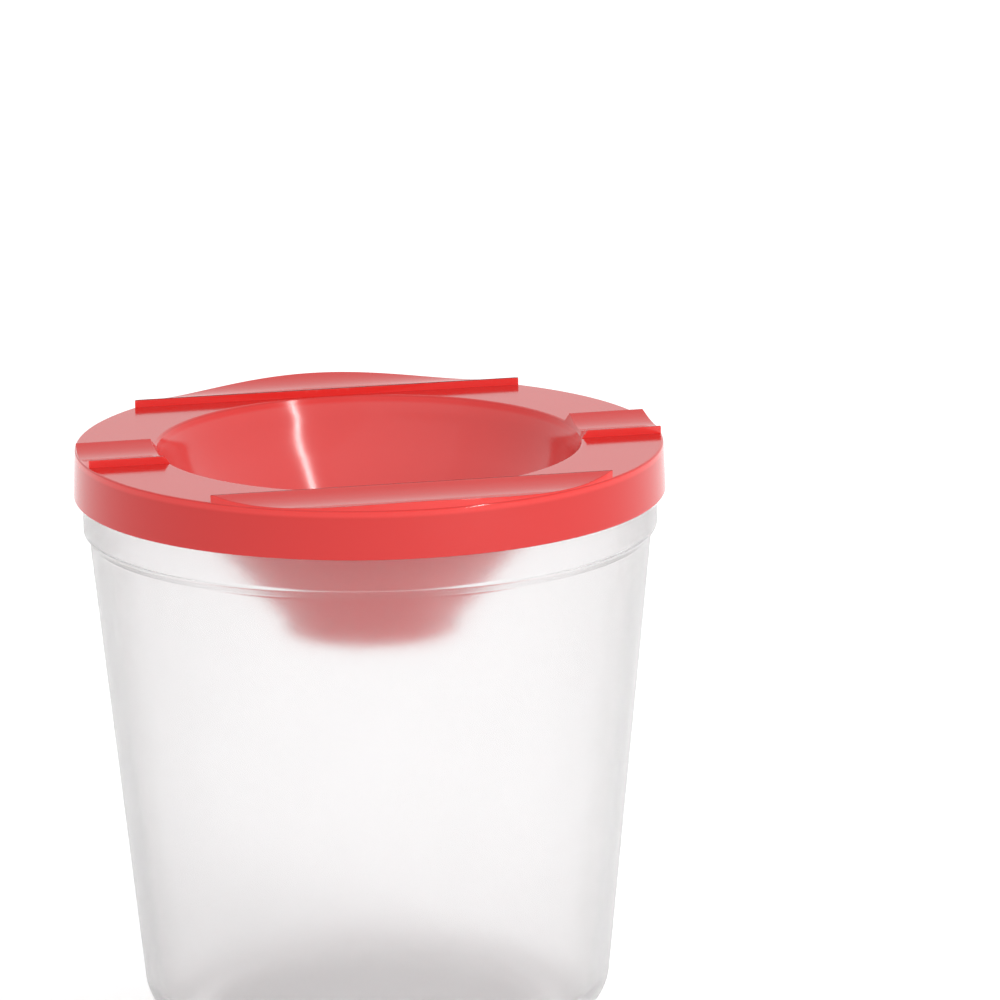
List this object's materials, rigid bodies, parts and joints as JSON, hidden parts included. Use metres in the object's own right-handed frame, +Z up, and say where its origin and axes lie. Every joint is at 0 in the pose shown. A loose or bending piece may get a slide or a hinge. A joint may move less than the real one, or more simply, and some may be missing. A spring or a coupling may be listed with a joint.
{
  "type": "brush washer",
  "caption": "Tapered frosted water pot with a push-on funnel lid whose raised troughs hold paint brushes.",
  "frame": {"origin": "centre of the base, on the surface that the pot stands on", "axes": "+Z up through the funnel, +X along the brush rests"},
  "size_m": [0.0906, 0.0906, 0.0912],
  "materials": {
    "frosted_plastic": "natural translucent polypropylene, faintly frosted",
    "red_plastic": "glossy translucent red"
  },
  "bodies": {
    "pot": {"pot": "frosted_plastic"},
    "lid": {"lid": "red_plastic"}
  },
  "joints": [
    {"name": "lid_lift", "type": "slide", "parent": "pot", "child": "lid", "axis": [0, 0, 1], "range_m": [0, 0.05]}
  ]
}
